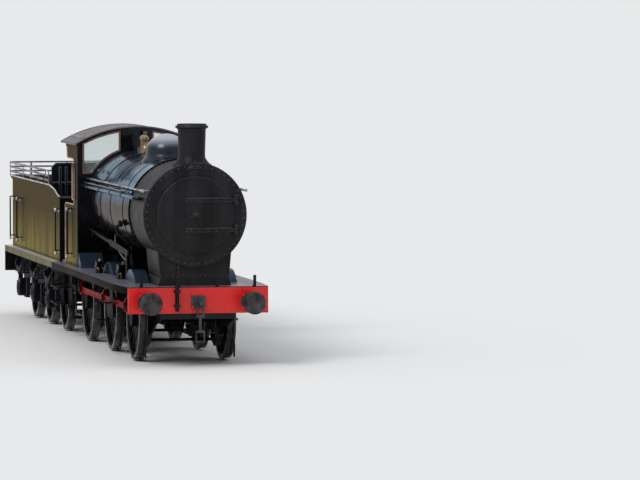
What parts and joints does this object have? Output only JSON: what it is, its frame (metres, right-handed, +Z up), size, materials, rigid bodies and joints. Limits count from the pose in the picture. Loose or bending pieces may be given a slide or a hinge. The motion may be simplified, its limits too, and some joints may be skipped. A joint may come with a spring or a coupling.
{
  "type": "steam locomotive with tender",
  "caption": "Six-coupled inside-cylinder goods steam locomotive with a tall chimney, domed boiler and half-open cab, hinged to a railed three-axle coal tender",
  "frame": {"origin": "bottom centre of the bounding box: the floor under the wheel flanges, midway over the buffers", "axes": "+X forward, +Y to the locomotive's left, +Z up"},
  "size_m": [15.9, 2.5, 4.013],
  "materials": {
    "black_paint": "gloss",
    "brass": "polished",
    "bright_steel": "polished",
    "buffer_steel": "worn",
    "cab_black": "gloss",
    "cast_iron": "as cast",
    "floor_wood": "worn",
    "frame_black": "satin",
    "glass": "clear",
    "plate_grey": "satin",
    "red_paint": "gloss",
    "rod_red": "satin",
    "roof_grey": "matt",
    "smokebox_black": "satin",
    "spring_steel": "oiled",
    "tyre_steel": "worn",
    "wheel_black": "painted"
  },
  "bodies": {
    "engine": {"ashpan": "frame_black", "boiler_barrel": "black_paint", "boiler_handrails": "bright_steel", "boiler_pipes": "black_paint", "cab_controls": "cast_iron", "cab_floor": "floor_wood", "cab_front_sheet": "black_paint", "cab_handrails": "frame_black", "cab_roof": "roof_grey", "cab_side_sheets": "cab_black", "chimney": "smokebox_black", "cylinder_block": "cast_iron", "dome": "black_paint", "drawbar": "frame_black", "engine_axleboxes": "cast_iron", "engine_brake_gear": "frame_black", "engine_frames": "frame_black", "engine_springs": "spring_steel", "engine_steps": "frame_black", "fall_plate": "bright_steel", "firebox": "black_paint", "front_buffer_beam": "red_paint", "front_buffers": "buffer_steel", "front_drawhook": "buffer_steel", "reversing_rod": "frame_black", "running_plate": "plate_grey", "safety_valves": "brass", "slide_bars": "bright_steel", "smokebox": "smokebox_black", "spectacle_frames": "brass", "spectacle_glass": "glass", "splashers": "black_paint"},
    "leading_axle": {"leading_wheelset": "wheel_black", "leading_tyres": "tyre_steel"},
    "driving_axle": {"driving_wheelset": "wheel_black", "driving_tyres": "tyre_steel"},
    "trailing_axle": {"trailing_wheelset": "wheel_black", "trailing_tyres": "tyre_steel"},
    "left_rod": {"left_coupling_rod": "rod_red"},
    "right_rod": {"right_coupling_rod": "rod_red"},
    "smokebox_door": {"smokebox_door": "smokebox_black"},
    "filler_lid": {"tender_filler_lid": "cab_black"},
    "tender_axle_1": {"tender_wheelset_1": "wheel_black", "tender_tyres_1": "tyre_steel"},
    "tender_axle_2": {"tender_wheelset_2": "wheel_black", "tender_tyres_2": "tyre_steel"},
    "tender_axle_3": {"tender_wheelset_3": "wheel_black", "tender_tyres_3": "tyre_steel"},
    "tender": {"tender_axleboxes": "cast_iron", "tender_brake_gear": "frame_black", "tender_buffers": "buffer_steel", "tender_bulkhead": "black_paint", "tender_coal_rails": "spring_steel", "tender_drawhook": "buffer_steel", "tender_frames": "frame_black", "tender_handrails": "frame_black", "tender_plate": "plate_grey", "tender_springs": "spring_steel", "tender_steps": "frame_black", "tender_tank": "cab_black"}
  },
  "joints": [
    {"name": "driving_axle_spin", "type": "hinge", "parent": "engine", "child": "driving_axle", "pos_m": [3.312, 0, 0.729], "axis": [0, 1, 0], "continuous": true},
    {"name": "leading_axle_spin", "type": "hinge", "parent": "engine", "child": "leading_axle", "pos_m": [5.75, 0, 0.729], "axis": [0, 1, 0], "continuous": true},
    {"name": "trailing_axle_spin", "type": "hinge", "parent": "engine", "child": "trailing_axle", "pos_m": [0.721, 0, 0.729], "axis": [0, 1, 0], "continuous": true},
    {"name": "left_rod_turn", "type": "hinge", "parent": "driving_axle", "child": "left_rod", "pos_m": [3.4957, 0.895, 0.94032], "axis": [0, 1, 0], "continuous": true},
    {"name": "right_rod_turn", "type": "hinge", "parent": "driving_axle", "child": "right_rod", "pos_m": [3.10068, -0.895, 0.9127], "axis": [0, 1, 0], "continuous": true},
    {"name": "tender_swing", "type": "hinge", "parent": "engine", "child": "tender", "pos_m": [-1.2, 0, 0.988], "axis": [0, 0, 1], "range_deg": [-6, 6]},
    {"name": "tender_axle_1_spin", "type": "hinge", "parent": "tender", "child": "tender_axle_1", "pos_m": [-2.12, 0, 0.602], "axis": [0, 1, 0], "continuous": true},
    {"name": "tender_axle_2_spin", "type": "hinge", "parent": "tender", "child": "tender_axle_2", "pos_m": [-4.04, 0, 0.602], "axis": [0, 1, 0], "continuous": true},
    {"name": "tender_axle_3_spin", "type": "hinge", "parent": "tender", "child": "tender_axle_3", "pos_m": [-5.96, 0, 0.602], "axis": [0, 1, 0], "continuous": true},
    {"name": "smokebox_door_swing", "type": "hinge", "parent": "engine", "child": "smokebox_door", "pos_m": [7.196, 0.69, 2.508], "axis": [0, 0, 1], "range_deg": [0, 120]},
    {"name": "filler_lid_lift", "type": "hinge", "parent": "tender", "child": "filler_lid", "pos_m": [-6.922, 0, 2.724], "axis": [0, -1, 0], "range_deg": [0, 110]}
  ],
  "couplings": [
    {"joint": "leading_axle_spin", "follows": "driving_axle_spin", "ratio": 1},
    {"joint": "trailing_axle_spin", "follows": "driving_axle_spin", "ratio": 1},
    {"joint": "left_rod_turn", "follows": "driving_axle_spin", "ratio": -1},
    {"joint": "right_rod_turn", "follows": "driving_axle_spin", "ratio": -1}
  ]
}
